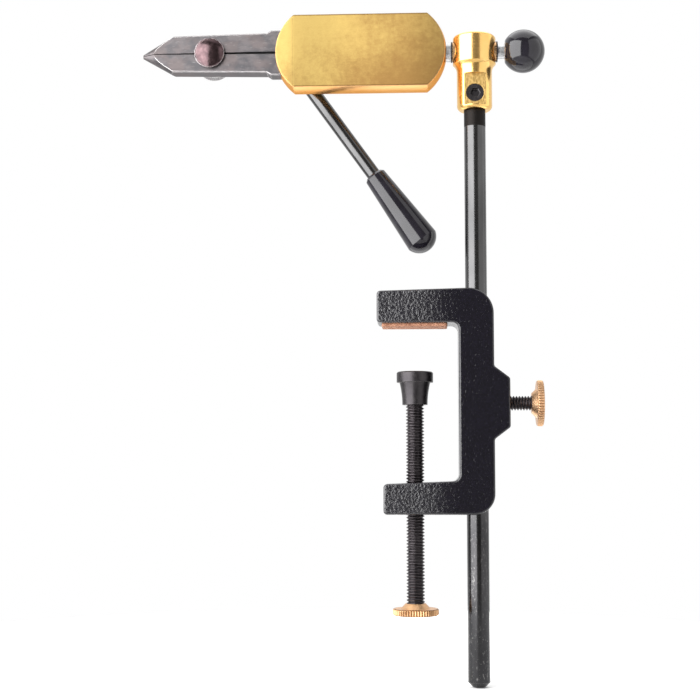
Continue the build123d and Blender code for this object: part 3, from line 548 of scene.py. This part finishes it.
FINISHES = {     # where a node differs from its slot
    "lever_rod": "rod_steel",
    "jaw_screw": "domed_steel",
    "clamp_thumb_nut": "thumb_brass",
    "lock_knob": "knob_brass",
    "clamp_screw": "thread_steel",
    "lock_screw": "thread_steel",
}


def dress(obj, slot_name):
    """Give every material slot of an object the slot's material."""
    if not obj.data.materials:
        obj.data.materials.append(MATERIALS[slot_name])
    for entry in obj.material_slots:
        entry.material = MATERIALS[slot_name]


for node_name, node_obj in NODES.items():
    dress(node_obj, FINISHES.get(node_name, SLOTS[node_name]))


# Pieces made here


def new_piece(name, verts, faces, body, node):
    """A smooth mesh that stands for a CAD node and rides on its body."""
    mesh = bpy.data.meshes.new(name)
    mesh.from_pydata(verts, [], faces)
    for face in mesh.polygons:
        face.use_smooth = True
    mesh.update()
    obj = bpy.data.objects.new(name, mesh)
    bpy.context.scene.collection.objects.link(obj)
    dress(obj, FINISHES.get(node, SLOTS[node]))
    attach(obj, body)
    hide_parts(node)
    return obj


def thread_drop(phase, pitch):
    """How far a thread's surface lies inside its outside radius, by the phase of its turn."""
    slope = max(0.0, abs(phase - 0.5) - THREAD_CREST / 2) / (0.5 - THREAD_CREST / 2)
    return THREAD_DEPTH * pitch * min(1.0, THREAD_STEEP * slope)


def screw_piece(name, plain_before, thread_span, plain_after, radius, pitch, place, body, node):
    """A screw with a true helical thread.

    plain_before and plain_after are (along, radius) points of its plain ends, thread_span the
    threaded length, and place puts a point (along, across, up) about the screw's axis.
    """
    start, end = thread_span
    count = int((end - start) / pitch * THREAD_ROWS)
    rows = [(along, r, False) for along, r in plain_before]
    rows += [(start + (end - start) * step / count, radius, True) for step in range(count + 1)]
    rows += [(along, r, False) for along, r in plain_after]
    verts = []
    for along, r, cut in rows:
        for side in range(THREAD_SIDES):
            angle = 2 * math.pi * side / THREAD_SIDES
            reach = r
            if cut:
                reach -= thread_drop(((along - start) / pitch - angle / (2 * math.pi)) % 1.0, pitch)
            verts.append(place(along, reach * math.cos(angle), reach * math.sin(angle)))
    faces = []
    for row in range(len(rows) - 1):
        for side in range(THREAD_SIDES):
            a = row * THREAD_SIDES + side
            b = row * THREAD_SIDES + (side + 1) % THREAD_SIDES
            faces.append((a, b, b + THREAD_SIDES, a + THREAD_SIDES))
    faces.append(tuple(reversed(range(THREAD_SIDES))))
    faces.append(tuple(range((len(rows) - 1) * THREAD_SIDES, len(rows) * THREAD_SIDES)))
    return new_piece(name, verts, faces, body, node)


# Clamp screw: swivel tip in the pad, thread down to the thumb nut, tail inside it
screw_low, screw_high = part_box("clamp_screw")
pad_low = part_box("clamp_pad")[0].z
nut_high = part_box("clamp_thumb_nut")[1].z
pin_low, pin_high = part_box("pad_pin")
neck_from, neck_to = pin_low.z - PIN_PLAY, pin_high.z + PIN_PLAY
thread_top = pad_low - SWIVEL_START
screw_piece(
    "clamp_screw_thread",
    [(screw_low.z, END_FACE * TAIL_R), (screw_low.z, TAIL_R), (nut_high, TAIL_R)],
    (nut_high, thread_top),
    [
        (thread_top, SWIVEL_R),
        (neck_from, SWIVEL_R),
        (neck_from, SWIVEL_NECK_R),
        (neck_to, SWIVEL_NECK_R),
        (neck_to, SWIVEL_R),
        (screw_high.z, SWIVEL_R),
        (screw_high.z, END_FACE * SWIVEL_R),
    ],
    screw_high.x, CLAMP_PITCH, lambda along, a, b: (a, b, along), "screw", "clamp_screw",
)

# Lock screw, along X, from its tip on the plug to its tail in the knob
lock_low, lock_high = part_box("lock_screw")
knob_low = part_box("lock_knob")[0].x
lock_z = (lock_low.z + lock_high.z) / 2
lock_r = (lock_high.z - lock_low.z) / 2
thread_from = lock_low.x + LOCK_TIP_L
screw_piece(
    "lock_screw_thread",
    [(lock_low.x, END_FACE * LOCK_TIP_R), (lock_low.x, LOCK_TIP_R), (thread_from, LOCK_TIP_R)],
    (thread_from, knob_low),
    [(knob_low, LOCK_TAIL_R), (lock_high.x, LOCK_TAIL_R), (lock_high.x, END_FACE * LOCK_TAIL_R)],
    lock_r, LOCK_PITCH, lambda along, a, b: (along, a, lock_z + b), "lock", "lock_screw",
)


def leather_pad():
    """Cut leather with soft corners and a fibrous, slightly uneven edge."""
    low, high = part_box("table_pad")
    size, centre = high - low, (low + high) / 2
    made = bmesh.new()
    bmesh.ops.create_cube(made, size=1.0)
    for vert in made.verts:
        vert.co = Vector(c * s for c, s in zip(vert.co, size))
    upright = [e for e in made.edges if abs(e.verts[0].co.z - e.verts[1].co.z) > size.z / 2]
    bmesh.ops.bevel(made, geom=upright, offset=LEATHER_CORNER, segments=5, profile=0.5, affect="EDGES")
    rim = [e for e in made.edges if abs(e.verts[0].co.z - e.verts[1].co.z) < size.z / 4]
    bmesh.ops.bevel(made, geom=rim, offset=LEATHER_RIM, segments=3, profile=0.5, affect="EDGES")
    bmesh.ops.triangulate(made, faces=[f for f in made.faces if len(f.verts) > 4])
    bmesh.ops.subdivide_edges(made, edges=made.edges[:], cuts=3, use_grid_fill=True)
    for vert in made.verts:
        wander = noise.noise(vert.co * LEATHER_WANDER_SCALE) * LEATHER_WANDER
        outward = Vector((vert.co.x, vert.co.y, 0)).normalized()
        if abs(vert.co.z) < size.z / 2 - LEATHER_FACE_SKIN:
            vert.co += outward * (wander - LEATHER_INSET)
        vert.co += centre
    verts = [v.co[:] for v in made.verts]
    made.verts.index_update()
    faces = [tuple(v.index for v in f.verts) for f in made.faces]
    made.free()
    pad = new_piece("leather_facing", verts, faces, "clamp", "table_pad")


leather_pad()


# Floor, light and camera


def floor():
    """A round floor just under the stem's foot, pale grey in front and glowing up to white behind."""
    middle = (CAD_BOX[0] + CAD_BOX[1]) / 2
    verts = [(0.0, 0.0, 0.0)]
    for side in range(FLOOR_SIDES):
        angle = 2 * math.pi * side / FLOOR_SIDES
        verts.append((FLOOR_RADIUS * math.cos(angle), FLOOR_RADIUS * math.sin(angle), 0.0))
    mesh = bpy.data.meshes.new("floor")
    faces = [(0, 1 + side, 1 + (side + 1) % FLOOR_SIDES) for side in range(FLOOR_SIDES)]
    mesh.from_pydata(verts, [], faces)
    obj = bpy.data.objects.new("floor", mesh)
    obj.location = (middle.x, middle.y, CAD_BOX[0].z - FLOOR_DROP)
    bpy.context.scene.collection.objects.link(obj)
    shader = Shader("floor_white")
    cloud = shader.noise(6.0, detail=2.0)
    pale = shader.mix(shader.band(cloud, 0.2, 0.8), (0.52, 0.52, 0.52), (0.55, 0.55, 0.55))
    depth = shader.axis("Y")
    colour = shader.mix(shader.band(depth, FLOOR_GREY_TO, FLOOR_WHITE_FROM), pale, (0.92, 0.92, 0.92))
    roughness = shader.band(cloud, 0.2, 0.8, 0.75, 0.85)
    shader.bsdf.inputs["Emission Color"].default_value = (1.0, 1.0, 1.0, 1.0)
    glow = shader.band(depth, FLOOR_GLOW_FROM, FLOOR_GLOW_FULL, 0.0, FLOOR_GLOW)
    shader.link(glow, shader.bsdf.inputs["Emission Strength"])
    obj.data.materials.append(shader.finish(colour, roughness, metallic=0.0, specular=0.2))


def world():
    """A white dome behind the object and a dim room in front of it, for bright metal to mirror."""
    made = bpy.data.worlds.new("studio")
    bpy.context.scene.world = made
    made.use_nodes = True
    tree = made.node_tree
    background = tree.nodes["Background"]
    coords = tree.nodes.new("ShaderNodeTexCoord")
    split = tree.nodes.new("ShaderNodeSeparateXYZ")
    depth = tree.nodes.new("ShaderNodeMapRange")
    depth.interpolation_type = "SMOOTHSTEP"
    depth.inputs["From Min"].default_value = ROOM_TO
    depth.inputs["From Max"].default_value = DOME_FROM
    blend = tree.nodes.new("ShaderNodeMix")
    blend.data_type = "RGBA"
    blend.inputs[6].default_value = ROOM_COLOUR
    blend.inputs[7].default_value = DOME_COLOUR
    tree.links.new(coords.outputs["Generated"], split.inputs["Vector"])
    tree.links.new(split.outputs["Y"], depth.inputs["Value"])
    tree.links.new(depth.outputs["Result"], blend.inputs["Factor"])
    tree.links.new(blend.outputs[2], background.inputs["Color"])
    background.inputs["Strength"].default_value = 1.0


def softbox(name, place, size, power):
    """A rectangular area light that faces the object."""
    light = bpy.data.lights.new(name, "AREA")
    light.shape = "RECTANGLE"
    light.size, light.size_y = size
    light.energy = power
    obj = bpy.data.objects.new(name, light)
    obj.location = place
    obj.rotation_mode = "QUATERNION"
    obj.rotation_quaternion = (LIGHT_AIM - Vector(place)).to_track_quat("-Z", "Y")
    bpy.context.scene.collection.objects.link(obj)


def camera():
    """The photograph's camera."""
    data = bpy.data.cameras.new("photo_camera")
    data.sensor_width = SENSOR_MM
    data.lens = SENSOR_MM * CAMERA_FOCAL_PX / IMAGE_PX
    azimuth, elevation = math.radians(CAMERA_AZIMUTH), math.radians(CAMERA_ELEVATION)
    level = math.cos(elevation)
    back = Vector((math.sin(azimuth) * level, -math.cos(azimuth) * level, math.sin(elevation)))
    obj = bpy.data.objects.new("photo_camera", data)
    obj.location = CAMERA_TARGET + back * CAMERA_DISTANCE
    obj.rotation_mode = "QUATERNION"
    obj.rotation_quaternion = (-back).to_track_quat("-Z", "Y")
    data.clip_start = CLIP_START
    bpy.context.scene.collection.objects.link(obj)
    bpy.context.scene.camera = obj


floor()
world()
for light_name, settings in LIGHTS.items():
    softbox(light_name, *settings)
camera()
bpy.context.scene.view_settings.view_transform = "Standard"
